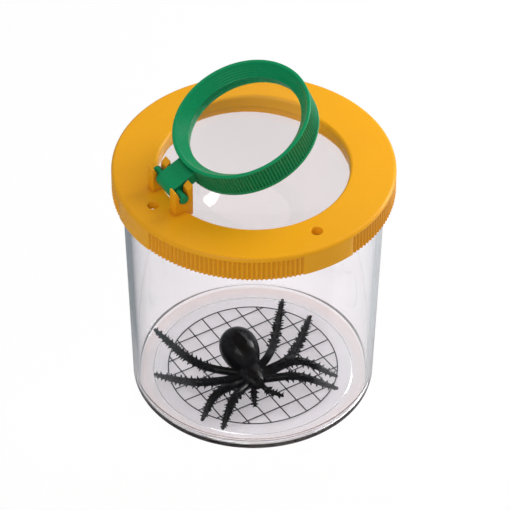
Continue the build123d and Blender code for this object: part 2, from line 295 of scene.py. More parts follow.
def finished(shape, name):
    """Mesh data from a bmesh, turned to face outwards; the bmesh is then freed."""
    if shape.calc_volume(signed=True) < 0:
        bmesh.ops.reverse_faces(shape, faces=shape.faces)
    mesh = bpy.data.meshes.new(name)
    shape.to_mesh(mesh)
    shape.free()
    return mesh


def placed(mesh, matrix):
    """The same mesh, moved in its own data."""
    mesh.transform(matrix)
    return mesh


def smooth(mesh, angle=35):
    """Smooth shading with creases kept at edges sharper than the angle, in degrees."""
    mesh.polygons.foreach_set("use_smooth", [True] * len(mesh.polygons))
    mesh.set_sharp_from_angle(angle=radians(angle))
    return mesh


def add_object(name, mesh):
    """Object at the origin, linked to the scene."""
    piece = bpy.data.objects.new(name, mesh)
    bpy.context.scene.collection.objects.link(piece)
    return piece


def settle(piece):
    """Turns a piece's modifiers into plain mesh."""
    graph = bpy.context.evaluated_depsgraph_get()
    mesh = bpy.data.meshes.new_from_object(piece.evaluated_get(graph))
    piece.modifiers.clear()
    spent = piece.data
    piece.data = mesh
    bpy.data.meshes.remove(spent)
    return piece


def combine(piece, meshes, operation):
    """Joins solid meshes to a piece, or cuts them out of it."""
    tools = []
    for mesh in meshes:
        tool = add_object("tool", mesh)
        cut = piece.modifiers.new(operation, "BOOLEAN")
        cut.object = tool
        cut.operation = operation
        cut.solver = "EXACT"
        tools.append(tool)
    settle(piece)
    for tool in tools:
        spent = tool.data
        bpy.data.objects.remove(tool)
        bpy.data.meshes.remove(spent)
    return piece


def dress(piece, material, body, slot, *nodes):
    """Gives a piece its material and its body, and hides the solids that it stands for; the slot is not used.
    """
    piece.data.materials.clear()
    piece.data.materials.append(material)
    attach(piece, body)
    if nodes:
        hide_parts(*nodes)
    return piece


# Node tools

MATH = "ShaderNodeMath"
VECTOR = "ShaderNodeVectorMath"
SPLIT_XYZ = "ShaderNodeSeparateXYZ"
JOIN_XYZ = "ShaderNodeCombineXYZ"
STORED = "GeometryNodeInputNamedAttribute"
INSTANCES = "GeometryNodeInstanceOnPoints"


def add(tree, kind, inputs=(), **settings):
    """Adds a node with its settings, values and links.

    Inputs are named, or listed in order. A node given as a value links by its first output.
    """
    node = tree.nodes.new(kind)
    for name, value in settings.items():
        setattr(node, name, value)
    for name, value in inputs.items() if isinstance(inputs, dict) else enumerate(inputs):
        if isinstance(value, bpy.types.Node):
            value = value.outputs[0]
        if isinstance(value, bpy.types.NodeSocket):
            tree.links.new(value, node.inputs[name])
        else:
            node.inputs[name].default_value = value
    return node


def new_tree(name, **sockets):
    """Geometry tree with named inputs and one geometry output."""
    tree = bpy.data.node_groups.new(name, "GeometryNodeTree")
    for label, kind in sockets.items():
        tree.interface.new_socket(label, in_out="INPUT", socket_type=f"NodeSocket{kind}")
    tree.interface.new_socket("Geometry", in_out="OUTPUT", socket_type="NodeSocketGeometry")
    return tree, tree.nodes.new("NodeGroupInput").outputs


def close_tree(tree, geometry, material):
    """Ends a geometry tree in realized instances with their material."""
    real = add(tree, "GeometryNodeRealizeInstances", {"Geometry": geometry})
    painted = add(tree, "GeometryNodeSetMaterial", {"Geometry": real, "Material": material})
    add(tree, "NodeGroupOutput", {"Geometry": painted})
    return tree


def run_tree(piece, tree, **values):
    """Runs a geometry tree on a piece with inputs set by identifier, and keeps the plain mesh."""
    modifier = piece.modifiers.new(tree.name, "NODES")
    modifier.node_group = tree
    for item in tree.interface.items_tree:
        if item.in_out == "INPUT" and item.name in values:
            modifier[item.identifier] = values[item.name]
    return settle(piece)


def rib_tree():
    """Cuts rounded grooves into the rows marked rim, in four runs with a plain stretch between."""
    tree, given = new_tree(
        "Ribbed rim", Geometry="Geometry", Ribs="Int", Plain="Float", Depth="Float", Material="Material"
    )
    place = add(tree, "GeometryNodeInputPosition")
    x, y, _ = add(tree, SPLIT_XYZ, [place]).outputs
    angle = add(tree, MATH, [y, x], operation="ARCTAN2")
    local = add(tree, MATH, [angle, QUARTER], operation="FLOORED_MODULO")
    run = add(tree, MATH, [QUARTER, given["Plain"]], operation="SUBTRACT")
    start = add(tree, MATH, [given["Plain"], 0.5], operation="MULTIPLY")
    walked = add(tree, MATH, [local, start], operation="SUBTRACT")
    # The clamp makes the plain stretches the top of a rib, where the wave is 0
    share = add(tree, MATH, [walked, run], operation="DIVIDE", use_clamp=True)
    ribs = add(tree, MATH, [share, given["Ribs"]], operation="MULTIPLY")
    phase = add(tree, MATH, [ribs, 2 * pi], operation="MULTIPLY")
    swing = add(tree, MATH, [phase], operation="COSINE")
    wave = add(tree, MATH, [swing, 0.5, -0.5], operation="MULTIPLY_ADD")
    marked = add(tree, STORED, {"Name": "rim"}, data_type="FLOAT")
    deepest = add(tree, MATH, [marked, given["Depth"]], operation="MULTIPLY")
    inward = add(tree, MATH, [wave, deepest], operation="MULTIPLY")
    outward = add(tree, VECTOR, [add(tree, JOIN_XYZ, [x, y])], operation="NORMALIZE")
    offset = add(tree, VECTOR, {0: outward, "Scale": inward}, operation="SCALE")
    moved = add(tree, "GeometryNodeSetPosition", {"Geometry": given["Geometry"], "Offset": offset})
    return close_tree(tree, moved, given["Material"])


def grid_tree():
    """Lays the grid's printed lines: two families of chords at right angles inside a ring."""
    sizes = dict.fromkeys(("Radius", "Square", "Line", "Ink"), "Float")
    tree, given = new_tree("Measuring grid", Geometry="Geometry", **sizes, Lines="Int", Material="Material")
    gaps = add(tree, MATH, [given["Lines"], 1.0], operation="SUBTRACT")
    width = add(tree, MATH, [gaps, given["Square"]], operation="MULTIPLY")
    first = add(tree, JOIN_XYZ, [add(tree, MATH, [width, -0.5], operation="MULTIPLY")])
    pitch = add(tree, JOIN_XYZ, [given["Square"]])
    row = {"Count": given["Lines"], "Start Location": first, "Offset": pitch}
    points = add(tree, "GeometryNodeMeshLine", row)
    offset = add(tree, SPLIT_XYZ, [add(tree, "GeometryNodeInputPosition")])
    near = add(tree, MATH, [offset, offset], operation="MULTIPLY")
    whole = add(tree, MATH, [given["Radius"], 2.0], operation="POWER")
    half = add(tree, MATH, [add(tree, MATH, [whole, near], operation="SUBTRACT")], operation="SQRT")
    chord = add(tree, MATH, [half, 2.0], operation="MULTIPLY")
    across = add(tree, JOIN_XYZ, [given["Line"], chord, given["Ink"]])
    bar = add(tree, "GeometryNodeMeshCube")
    lines = add(tree, INSTANCES, {"Points": points, "Instance": bar, "Scale": across})
    turned = add(tree, "GeometryNodeTransform", {"Geometry": lines, "Rotation": (0, 0, QUARTER)})
    joined = tree.nodes.new("GeometryNodeJoinGeometry")
    for part in (given["Geometry"], lines.outputs[0], turned.outputs[0]):
        tree.links.new(part, joined.inputs[0])
    return close_tree(tree, joined, given["Material"])


def barb_tree():
    """Sets a blunt cone of unit length on every point, leaning the way and grown to the size stored there."""
    tree, given = new_tree("Barbs", Geometry="Geometry", Width="Float", Material="Material")
    lean = add(tree, STORED, {"Name": "lean"}, data_type="FLOAT_VECTOR")
    grown = add(tree, STORED, {"Name": "grown"}, data_type="FLOAT")
    blunt = {"Vertices": 7, "Radius Top": 0.08, "Radius Bottom": given["Width"], "Depth": 1.0}
    cone = add(tree, "GeometryNodeMeshCone", blunt)
    turn = add(tree, "FunctionNodeAlignRotationToVector", {"Vector": lean}, axis="Z")
    scale = add(tree, JOIN_XYZ, [grown, grown, grown])
    stand = {"Points": given["Geometry"], "Instance": cone, "Rotation": turn, "Scale": scale}
    return close_tree(tree, add(tree, INSTANCES, stand), given["Material"])


# Materials

PLACE = "ShaderNodeTexCoord"
NOISE = "ShaderNodeTexNoise"
BUMP = "ShaderNodeBump"
MIX = "ShaderNodeMix"
MIX_SHADER = "ShaderNodeMixShader"
RANGE = "ShaderNodeMapRange"
LIGHT_PATH = "ShaderNodeLightPath"
PRINCIPLED = "ShaderNodeBsdfPrincipled"
OUTPUT = "ShaderNodeOutputMaterial"
# The part of a noise's range that its values mostly fill
NOISE_SPAN = {"From Min": 0.3, "From Max": 0.7}


def new_material(name):
    """Empty material and its node tree."""
    material = bpy.data.materials.new(name)
    material.use_nodes = True
    material.node_tree.nodes.clear()
    return material, material.node_tree


def patches_of(millimetres):
    """Scale of a pattern on object coordinates whose patches are about that many millimetres wide."""
    return 1 / (millimetres * MM)


def shades(rgb, amount):
    """Darker and lighter shades of a colour, as the two colours of a mix."""
    return {6: (*[c * (1 - amount) for c in rgb], 1), 7: (*[min(1, c * (1 + amount)) for c in rgb], 1)}


def clear_plastic(name, tint, gloss, cast=(1, 1, 1)):
    """Polystyrene, moulded clear and polished: high gloss, and a cool tint where it is seen in depth.

    Light that several reflections trap in a thick stretch is scattered there, as flow lines and scuffs
    scatter it, so the foot has a grey line and not a black one.
    """
    material, tree = new_material(name)
    surface = {
        "Base Color": (*cast, 1),
        "IOR": 1.59,
        "Transmission Weight": 1.0,
        "Roughness": 0.0,
        "Specular Tint": (gloss, gloss, gloss, 1),
    }
    shader = add(tree, PRINCIPLED, surface)
    depth = add(tree, "ShaderNodeVolumeAbsorption", {"Color": (*tint, 1), "Density": 22.0})
    bounces = add(tree, LIGHT_PATH).outputs["Glossy Depth"]
    trapped = add(tree, MATH, [bounces, 2.5], operation="GREATER_THAN")
    scatter = add(tree, "ShaderNodeBsdfDiffuse", {"Color": (*linear("#B3ADAD"), 1)})
    seen = add(tree, MIX_SHADER, [trapped, shader, scatter])
    add(tree, OUTPUT, {"Surface": seen, "Volume": depth})
    return material


def moulded_plastic(name, rgb, shade, glow):
    """Polypropylene, moulded in an opaque colour: satin gloss, fine grain, flow marks, and shade painted into
    its corners.
    """
    material, tree = new_material(name)
    where = add(tree, PLACE).outputs["Object"]
    flow = add(tree, NOISE, {"Vector": where, "Scale": patches_of(14.0), "Detail": 3.0})
    # Real grain is too fine to show, so it is drawn several times as coarse
    grain = add(tree, NOISE, {"Vector": where, "Scale": patches_of(0.35), "Detail": 2.0})
    body = add(tree, MIX, {"Factor": flow, **shades(rgb, 0.05)}, data_type="RGBA").outputs[2]
    # Painted shade: ambient occlusion mixes the shade colour into corners, grooves and recesses
    open_sky = add(tree, "ShaderNodeAmbientOcclusion", {"Distance": 1.5 * MM}, samples=8).outputs["AO"]
    painted_shade_mix = {"Factor": open_sky, 6: (*shade, 1), 7: body}
    satin = {**NOISE_SPAN, "Value": grain, "To Min": 0.24, "To Max": 0.36}
    surface = {
        "Base Color": add(tree, MIX, painted_shade_mix, data_type="RGBA").outputs[2],
        "Roughness": add(tree, RANGE, satin),
        "IOR": 1.49,
        "Specular IOR Level": 0.22,
        "Subsurface Weight": glow,
        "Subsurface Radius": (1.0, 0.5, 0.2),
        "Subsurface Scale": 0.6 * MM,
        "Normal": add(tree, BUMP, {"Height": grain, "Distance": 0.02 * MM, "Strength": 0.5}),
    }
    add(tree, OUTPUT, {"Surface": add(tree, PRINCIPLED, surface)})
    return material


def glossy_vinyl(name, rgb):
    """Soft PVC, moulded black and glossy: a dark skin whose fine pits break up its highlights."""
    material, tree = new_material(name)
    where = add(tree, PLACE).outputs["Object"]
    pits = add(tree, NOISE, {"Vector": where, "Scale": patches_of(0.5), "Detail": 3.0})
    patches = add(tree, NOISE, {"Vector": where, "Scale": patches_of(3.0), "Detail": 2.0})
    varied = {"Factor": patches, **shades(rgb, 0.4)}
    gloss = {**NOISE_SPAN, "Value": patches, "To Min": 0.14, "To Max": 0.3}
    surface = {
        "Base Color": add(tree, MIX, varied, data_type="RGBA").outputs[2],
        "Roughness": add(tree, RANGE, gloss),
        "IOR": 1.53,
        "Specular IOR Level": 0.12,
        "Normal": add(tree, BUMP, {"Height": pits, "Distance": 0.06 * MM, "Strength": 0.5}),
    }
    add(tree, OUTPUT, {"Surface": add(tree, PRINCIPLED, surface)})
    return material


def printed_ink(name, rgb):
    """Screen ink, printed matt black: even cover with a slightly uneven sheen."""
    material, tree = new_material(name)
    where = add(tree, PLACE).outputs["Object"]
    # Real ink varies more finely than shows here, so its patches are drawn larger
    cover = add(tree, NOISE, {"Vector": where, "Scale": patches_of(0.6), "Detail": 2.0})
    varied = {"Factor": cover, **shades(rgb, 0.3)}
    sheen = {**NOISE_SPAN, "Value": cover, "To Min": 0.5, "To Max": 0.7}
    surface = {
        "Base Color": add(tree, MIX, varied, data_type="RGBA").outputs[2],
        "Roughness": add(tree, RANGE, sheen),
        "IOR": 1.5,
    }
    add(tree, OUTPUT, {"Surface": add(tree, PRINCIPLED, surface)})
    return material


# Pieces

def let_light_through(piece):
    """Clear plastic throws almost no shadow, so lamps shine through it."""
    piece.visible_shadow = False
    return piece


class BUGJAR_OT_jar(bpy.types.Operator):
    """Clear jar with a drafted wall, a foot ring and a recessed floor"""

    bl_idname = "bugjar.jar"
    bl_label = "Jar"

    def execute(self, context):
        given = context.scene.bug_jar
        jar = given.jar
        draft = (jar.rim_radius - jar.foot_radius) / RIM_Z
        floor_radius = jar.foot_radius + draft * jar.floor - jar.wall
        outline = rounded(
            (
                (0, jar.recess_depth, 0),
                (jar.recess_radius, jar.recess_depth, EDGE_BREAK),
                (jar.recess_radius, 0, EDGE_BREAK),
                (jar.foot_radius, 0, jar.foot_round),
                (jar.rim_radius, RIM_Z, jar.rim_round),
                (jar.rim_radius - jar.wall, RIM_Z, jar.rim_round),
                (floor_radius, jar.floor, jar.floor_round),
                (0, jar.floor, 0),
            )
        )
        piece = add_object("jar_shell", smooth(lathe("jar_shell", outline, even_angles(256))))
        material = clear_plastic("clear_polystyrene_moulded", given.finish.clear_tint, gloss=0.02)
        dress(let_light_through(piece), material, "jar", "clear_polystyrene", "jar")
        return {"FINISHED"}


class BUGJAR_OT_grid(bpy.types.Operator):
    """Printed measuring grid under the jar's floor"""

    bl_idname = "bugjar.grid"
    bl_label = "Measuring grid"

    def execute(self, context):
        given = context.scene.bug_jar
        line = given.jar.grid_line
        radius = GRID_HIGH.x - line / 2
        ink = GRID_HIGH.z - GRID_LOW.z
        inner = radius - line / 2
        outer = radius + line / 2
        outline = ((inner, -ink / 2), (outer, -ink / 2), (outer, ink / 2), (inner, ink / 2))
        piece = add_object("measuring_grid", lathe("measuring_grid", outline, even_angles(192)))
        material = printed_ink("screen_ink_black", given.finish.ink)
        square = given.jar.grid_square
        lines = 2 * int(radius / square)
        sizes = {"Radius": radius, "Square": square, "Line": line, "Ink": ink, "Lines": lines}
        run_tree(piece, grid_tree(), Material=material, **sizes)
        placed(piece.data, Matrix.Translation((0, 0, (GRID_LOW.z + GRID_HIGH.z) / 2)))
        dress(piece, material, "jar", "black_ink", "grid_print")
        return {"FINISHED"}


class BUGJAR_OT_lid(bpy.types.Operator):
    """Yellow push-on lid with a ribbed skirt, air holes and the hinge's ears"""

    bl_idname = "bugjar.lid"
    bl_label = "Lid"

    def execute(self, context):
        given = context.scene.bug_jar
        lid = given.lid
        skirt_bottom = RIM_Z - lid.skirt
        rib_top = LID_TOP_Z - lid.rib_stop
        run_out = 0.15 * MM
        rib_end = rib_top - run_out
        mouth_round = 0.3 * MM
        skirt_round = 0.25 * MM
        channel_round = 0.4 * MM
        collar = lid.seat_radius + lid.collar_wall
        lip = lid.seat_radius - SNAP_REACH
        lip_bottom = LENS_LOW.z - SNAP_HEIGHT
        collar_bottom = RIM_Z - lid.collar_depth
        outline = rounded(
            (
                (lid.bore, skirt_bottom, mouth_round),
                (lid.radius, skirt_bottom, skirt_round),
                (lid.radius, rib_end, 0),
                (lid.radius, rib_top, 0),
                (lid.radius, LID_TOP_Z, lid.edge_round),
                (lid.view_radius, LID_TOP_Z, lid.edge_round),
                (lid.view_radius, LENS_SEAT_Z, 0),
                (lid.seat_radius, LENS_SEAT_Z, 0),
                (lid.seat_radius, LENS_LOW.z, 0),
                (lip, LENS_LOW.z, 0),
                (lip, lip_bottom, 0),
                (lid.seat_radius, lip_bottom, 0),
                (lid.seat_radius, collar_bottom, EDGE_BREAK),
                (collar, collar_bottom, EDGE_BREAK),
                (collar, RIM_Z, channel_round),
                (lid.bore, RIM_Z, channel_round),
            )
        )

        def on_rim(point):
            """Rows of the skirt's outer face, its rounded foot among them."""
            return point.x > lid.radius - 1.2 * skirt_round and point.y <= rib_end + 1e-7

        body = lathe("lid", outline, ribbed_angles(lid.ribs, lid.smooth_angle), on_rim)
        piece = add_object("lid_moulding", body)
        colours = (given.finish.lid_yellow, given.finish.lid_painted_shade)
        material = moulded_plastic("polypropylene_golden_yellow", *colours, glow=0.12)
        ribs = {"Ribs": lid.ribs, "Plain": lid.smooth_angle, "Depth": lid.rib_depth}
        run_tree(piece, rib_tree(), Material=material, **ribs)
        combine(piece, [self.drill(lid, quarter) for quarter in (1, 2, 3)], "DIFFERENCE")
        combine(piece, [self.ear(given.ear, given.magnifier, side) for side in (-1, 1)], "UNION")
        smooth(piece.data)
        dress(piece, material, "lid", "yellow_plastic", "lid")
        return {"FINISHED"}

    def drill(self, lid, quarter):
        """Tapered drill for an air hole, wider by a small edge break at the lid's top."""
        top = lid.air_hole_radius
        taper = 0.75
        foot = taper * top
        edge = 0.1 * MM
        past = 2 * MM
        outline = (
            (0, RIM_Z - past),
            (foot, RIM_Z - past),
            (foot, RIM_Z),
            (top, LID_TOP_Z - edge),
            (top + edge, LID_TOP_Z),
            (top + edge, LID_TOP_Z + past),
            (0, LID_TOP_Z + past),
        )
        turn = Matrix.Rotation(quarter * QUARTER, 4, "Z")
        # A small turn keeps the hole's corners off the lid's own edges
        off_edges = Matrix.Rotation(radians(3.0), 4, "Z")
        place = turn @ Matrix.Translation((lid.air_hole_reach, 0, 0)) @ off_edges
        return placed(lathe("hole", outline, even_angles(40)), place)

    def ear(self, ear, magnifier, side):
        """Slotted ear that the pin snaps into, its inner prong sloped as a lead-in."""
        seat = magnifier.pin_radius + ear.play
        half = seat + ear.prong
        throat = magnifier.pin_radius - ear.snap
        base = LID_TOP_Z - ear.root - PIN.z
        inner_top = LID_HIGH.z - PIN.z
        outer_top = inner_top - ear.drop
        mouth = asin(throat / seat)
        outline = [(-half, base), (-half, outer_top), (-half + ear.flat, outer_top)]
        steps = 20
        for step in range(steps + 1):
            angle = QUARTER + mouth + (2 * pi - 2 * mouth) * step / steps
            outline.append((seat * cos(angle), seat * sin(angle)))
        outline += [(seat, inner_top - ear.lead_in), (half, inner_top), (half, base)]
        middle = magnifier.tongue_width / 2 + ear.gap + ear.width / 2
        bevel = 0.15 * MM
        block = prism("ear", outline, ear.width, bevel)
        return placed(block, Matrix.Translation((PIN.x, side * middle, PIN.z)))


class BUGJAR_OT_lid_lens(bpy.types.Operator):
    """Clear lens fixed under the lid's opening"""

    bl_idname = "bugjar.lid_lens"
    bl_label = "Lid lens"

    def execute(self, context):
        given = context.scene.bug_jar
        finish = given.finish
        flange = LENS_HIGH.x
        clear = given.lid.view_radius - LENS_MARGIN
        outline = [(0, LENS_LOW.z), (flange, LENS_LOW.z), (flange, LENS_SEAT_Z)]
        outline += dome(clear, LENS_SEAT_Z, LENS_HIGH.z)
        piece = add_object("lid_lens_clear", smooth(lathe("lid_lens", outline, even_angles(192))))
        material = clear_plastic("clear_styrene_lens", finish.clear_tint, gloss=1.0, cast=finish.lens_cast)
        dress(let_light_through(piece), material, "lid", "clear_lens", "lid_lens")
        return {"FINISHED"}


def dome(radius, edge_z, crown_z, steps=28):
    """Outline of a spherical cap from its edge, where a guard point keeps the shading crisp, to its crown."""
    rise = abs(crown_z - edge_z)
    sphere = (radius**2 + rise**2) / (2 * rise)
    sign = 1 if crown_z > edge_z else -1
    points = []
    for share in (0.0, 0.004, *[step / steps for step in range(1, steps)]):
        reach = radius * (1 - share)
        lift = sqrt(sphere**2 - reach**2) - (sphere - rise)
        points.append((reach, edge_z + sign * lift))
    return points + [(0, crown_z)]


class BUGJAR_OT_magnifier(bpy.types.Operator):
    """Green magnifier frame: ribbed ring, tongue, knuckle and cross pin"""

    bl_idname = "bugjar.magnifier"
    bl_label = "Magnifier frame"

    def execute(self, context):
        given = context.scene.bug_jar
        ring = given.magnifier
        bottom = ring.top - ring.height
        rib_low = bottom + ring.foot_height
        rib_top = ring.top - ring.lip_height
        run_out = 0.1 * MM
        seat = ring.bore + ring.lens_seat
        lip = seat - SNAP_REACH
        cone_bottom = ring.top - ring.cone_depth
        seat_high = cone_bottom - ring.lens_drop
        seat_low = seat_high - ring.lens_flange
        lip_low = seat_low - SNAP_HEIGHT
        cone_top = ring.radius - ring.lip_width
        mouth_round = 0.15 * MM
        lip_round = 0.3 * MM
        corners = [
            (seat, bottom, mouth_round),
            (ring.radius, bottom, EDGE_BREAK),
            (ring.radius, rib_low, 0),
            (ring.radius, rib_low + run_out, 0),
            (ring.radius, rib_top - run_out, 0),
            (ring.radius, rib_top, 0),
            (ring.radius, ring.top, lip_round),
            (cone_top, ring.top, EDGE_BREAK),
        ]
        # Fine turning marks down the cone, four steps to each
        turnings = 6
        ripple = 0.05 * MM
        for step in range(4, 4 * turnings):
            share = step / (4 * turnings)
            depth = ripple * (1 - cos(QUARTER * step))
            reach = cone_top + (ring.bore - cone_top) * share
            corners.append((reach + depth, ring.top + (cone_bottom - ring.top) * share, 0))
        corners += [
            (ring.bore, cone_bottom, 0),
            (ring.bore, seat_high, 0),
            (seat, seat_high, 0),
            (seat, seat_low, 0),
            (lip, seat_low, 0),
            (lip, lip_low, 0),
            (seat, lip_low, 0),
        ]

        def on_rim(point):
            """Rows of the ring's outer face between its plain foot and lip."""
            return point.x > ring.radius - run_out and rib_low + run_out / 2 < point.y < rib_top - run_out / 2

        body = lathe("ring", rounded(corners), ribbed_angles(ring.ribs, 0.0, 6), on_rim)
        piece = add_object("magnifier_frame_moulding", body)
        colours = (given.finish.magnifier_green, given.finish.magnifier_painted_shade)
        material = moulded_plastic("polypropylene_emerald_green", *colours, glow=0.05)
        run_tree(piece, rib_tree(), Ribs=ring.ribs, Plain=0.0, Depth=ring.rib_depth, Material=material)
        combine(piece, [self.tongue(ring), self.pin(ring)], "UNION")
        placed(piece.data, SWING @ Matrix.Translation((ring.reach, 0, 0)))
        smooth(piece.data)
        dress(piece, material, "magnifier", "green_plastic", "magnifier_frame")
        return {"FINISHED"}

    def tongue(self, ring):
        """Tongue from the ring's wall to a round knuckle about the pin."""
        high = ring.knuckle_radius
        low = high - ring.tongue_thickness
        short_of_bore = 1.2 * MM
        end = ring.reach - ring.bore - short_of_bore
        outline = [(end, low), (end, high)]
        meet = asin(low / ring.knuckle_radius)
        steps = 24
        for step in range(steps + 1):
            angle = QUARTER + (1.5 * pi + meet) * step / steps
            outline.append((high * cos(angle), high * sin(angle)))
        bevel = 0.25 * MM
        tongue = prism("tongue", outline, ring.tongue_width, bevel)
        return placed(tongue, Matrix.Translation((-ring.reach, 0, 0)))

    def pin(self, ring):
        """Cross pin with rounded ends."""
        half = ring.pin_length / 2
        end_round = 0.3 * MM
        ends = ((ring.pin_radius, -half, end_round), (ring.pin_radius, half, end_round))
        pin = lathe("pin", rounded(((0, -half, 0), *ends, (0, half, 0))), even_angles(40))
        return placed(pin, Matrix.Translation((-ring.reach, 0, 0)) @ Matrix.Rotation(QUARTER, 4, "X"))


class BUGJAR_OT_magnifier_lens(bpy.types.Operator):
    """Clear biconvex lens in the magnifier's ring"""

    bl_idname = "bugjar.magnifier_lens"
    bl_label = "Magnifier lens"

    def execute(self, context):
        given = context.scene.bug_jar
        ring = given.magnifier
        high = ring.top - ring.cone_depth - ring.lens_drop
        low = high - ring.lens_flange
        rise = ring.lens_rise
        flange = ring.bore + ring.lens_seat - LENS_PLAY
        clear = ring.bore - LENS_MARGIN
        outline = dome(clear, low, low - rise)[::-1]
        outline += [(flange, low), (flange, high), *dome(clear, high, high + rise)]
        lens = lathe("lens", outline, even_angles(160))
        placed(lens, SWING @ Matrix.Translation((ring.reach, 0, 0)))
        piece = add_object("magnifier_lens_clear", smooth(lens))
        material = clear_plastic("clear_styrene_magnifier", given.finish.clear_tint, gloss=0.1)
        dress(let_light_through(piece), material, "magnifier", "clear_lens", "magnifier_lens")
        return {"FINISHED"}


# Toy spider: places about the middle of the head shield, heading along +X, in millimetres and degrees
HEADING = radians(-98.9)
SPIDER_PLACE = Vector((-5.6, -8.9, 2.3)) * MM
# head shield and abdomen: middle, length, width, height, tilt
EGGS = (
    ((0, 0, 4.6), 9.4, 6.8, 5.4, 0),
    ((-8.2, 0, 6.6), 14.0, 10.2, 9.8, 16),
)
# How much wider an egg is at its back than in its middle, as a share
EGG_FULLNESS = 0.16
HIP_REACH = 2.4
HIP_HEIGHT = 4.4
# hip angle, knee angle, knee reach, knee height, tip angle, tip reach, tip height
LEGS = (
    (-45, -52, 10.2, 4.8, -49, 17.4, 0.6),
    (-75, -75, 11.8, 5.0, -69, 18.0, 0.6),
    (-105, -103, 14.9, 4.8, -123, 26.1, 0.6),
    (-135, -131, 15.3, 4.8, -149, 33.0, 3.0),
    (45, 63, 11.9, 5.4, 66, 22.0, 0.6),
    (75, 90, 12.9, 5.4, 78, 22.5, 0.6),
    (105, 104, 12.8, 5.0, 127.3, 31.7, 0.6),
    (135, 131, 11.5, 5.0, 143.6, 35.0, 0.6),
)
FEELERS = (
    (-15, -20, 5.6, 3.6, -19, 8.6, 2.0),
    (15, 19, 5.9, 3.8, 33, 9.6, 2.6),
)


def polar(reach, angle, height):
    """Point about the head shield, from millimetres and degrees."""
    return Vector((reach * cos(radians(angle)), reach * sin(radians(angle)), height)) * MM


def limb_route(limb, count):
    """Points along a limb from hip to knee to tip, on two smooth spans that meet at the knee."""
    hip_angle, knee_angle, knee_reach, knee_height, tip_angle, tip_reach, tip_height = limb
    hip = polar(HIP_REACH, hip_angle, HIP_HEIGHT)
    knee = polar(knee_reach, knee_angle, knee_height)
    tip = polar(tip_reach, tip_angle, tip_height)
    through = (tip - hip) * 0.5
    spans = ((hip, knee, knee - hip, through), (knee, tip, through, tip - knee))
    route = []
    for first, last, leave, arrive in spans:
        for step in range(count):
            t = step / count
            route.append(
                first * (2 * t**3 - 3 * t**2 + 1)
                + leave * (t**3 - 2 * t**2 + t)
                + last * (3 * t**2 - 2 * t**3)
                + arrive * (t**3 - t**2)
            )
    return route + [tip]


def limb_radius(root, share):
    """Thickness of a limb along its length: full to past the knee, then drawn thin."""
    return root * (0.95 + 0.2 * share - 0.75 * share**3)


def limb_frames(route):
    """Along, sideways and upward directions at each point of a limb."""
    frames = []
    for place in range(len(route)):
        along = (route[min(place + 1, len(route) - 1)] - route[max(place - 1, 0)]).normalized()
        sideways = Vector((0, 0, 1)).cross(along).normalized()
        frames.append((along, sideways, along.cross(sideways)))
    return frames


def add_limb(shape, route, root, sides=12):
    """Skins a tapering limb, closed at both ends."""
    frames = limb_frames(route)
    rows = []
    blunt = limb_radius(root, 1.0) / 2
    last = len(route) - 1
    rings = [(place, centre, limb_radius(root, place / last)) for place, centre in enumerate(route)]
    rings.append((last, route[last] + frames[last][0] * blunt, blunt))
    for place, centre, radius in rings:
        _, sideways, upward = frames[place]
        row = []
        for side in range(sides):
            angle = 2 * pi * side / sides
            row.append(shape.verts.new(centre + radius * (cos(angle) * sideways + sin(angle) * upward)))
        rows.append(row)
    for lower, upper in zip(rows, rows[1:]):
        for side in range(sides):
            after = (side + 1) % sides
            shape.faces.new((lower[side], lower[after], upper[after], upper[side]))
    shape.faces.new(reversed(rows[0]))
    shape.faces.new(rows[-1])


# Rows of barbs round a limb: angle from its side in degrees, and how far along the pitch the row starts
BARB_ROWS = ((0, 0.0), (180, 0.0), (52, 0.5), (128, 0.5), (232, 0.25), (308, 0.25))
# Share of a limb where the barbs end, their lean and loss of length towards its tip, and how deep they stand
BARB_END = 0.98
BARB_LEAN = 0.35
BARB_TAPER = 0.4
BARB_SEAT = 0.8
# Width of a barb's foot as a share of its length
BARB_WIDTH = 0.4


def barb_points(route, root, sizes, start):
    """Places, leanings and lengths of the barbs in rows round a limb, clear of the floor."""
    frames = limb_frames(route)
    lengths = [0.0]
    for first, last in zip(route, route[1:]):
        lengths.append(lengths[-1] + (last - first).length)
    whole = lengths[-1]
    barbs = []
    for row_angle, stagger in BARB_ROWS:
        walked = start * whole + stagger * sizes.barb_pitch
        while walked < BARB_END * whole:
            place = min(range(len(route)), key=lambda i: abs(lengths[i] - walked))
            share = lengths[place] / whole
            along, sideways, upward = frames[place]
            across = cos(radians(row_angle)) * sideways + sin(radians(row_angle)) * upward
            lean = (across + BARB_LEAN * along).normalized()
            length = sizes.barb_length * (1 - BARB_TAPER * share)
            foot = route[place] + across * limb_radius(root, share) * BARB_SEAT
            if foot.z + length * lean.z > 0:
                barbs.append((foot, lean, length))
            walked += sizes.barb_pitch
    return barbs


def add_egg(shape, centre, length, width, height, tilt):
    """Egg-shaped body part along X, fuller at its back, tilted about Y, from millimetres and degrees."""
    turn = Matrix.Translation(Vector(centre) * MM) @ Matrix.Rotation(radians(tilt), 4, "Y")
    made = bmesh.ops.create_uvsphere(shape, u_segments=40, v_segments=24, radius=1.0)
    for vertex in made["verts"]:
        across, up, along = vertex.co
        fuller = 1 - EGG_FULLNESS * along
        local = Vector((along * length / 2, across * width / 2 * fuller, up * height / 2 * fuller))
        vertex.co = turn @ (local * MM)


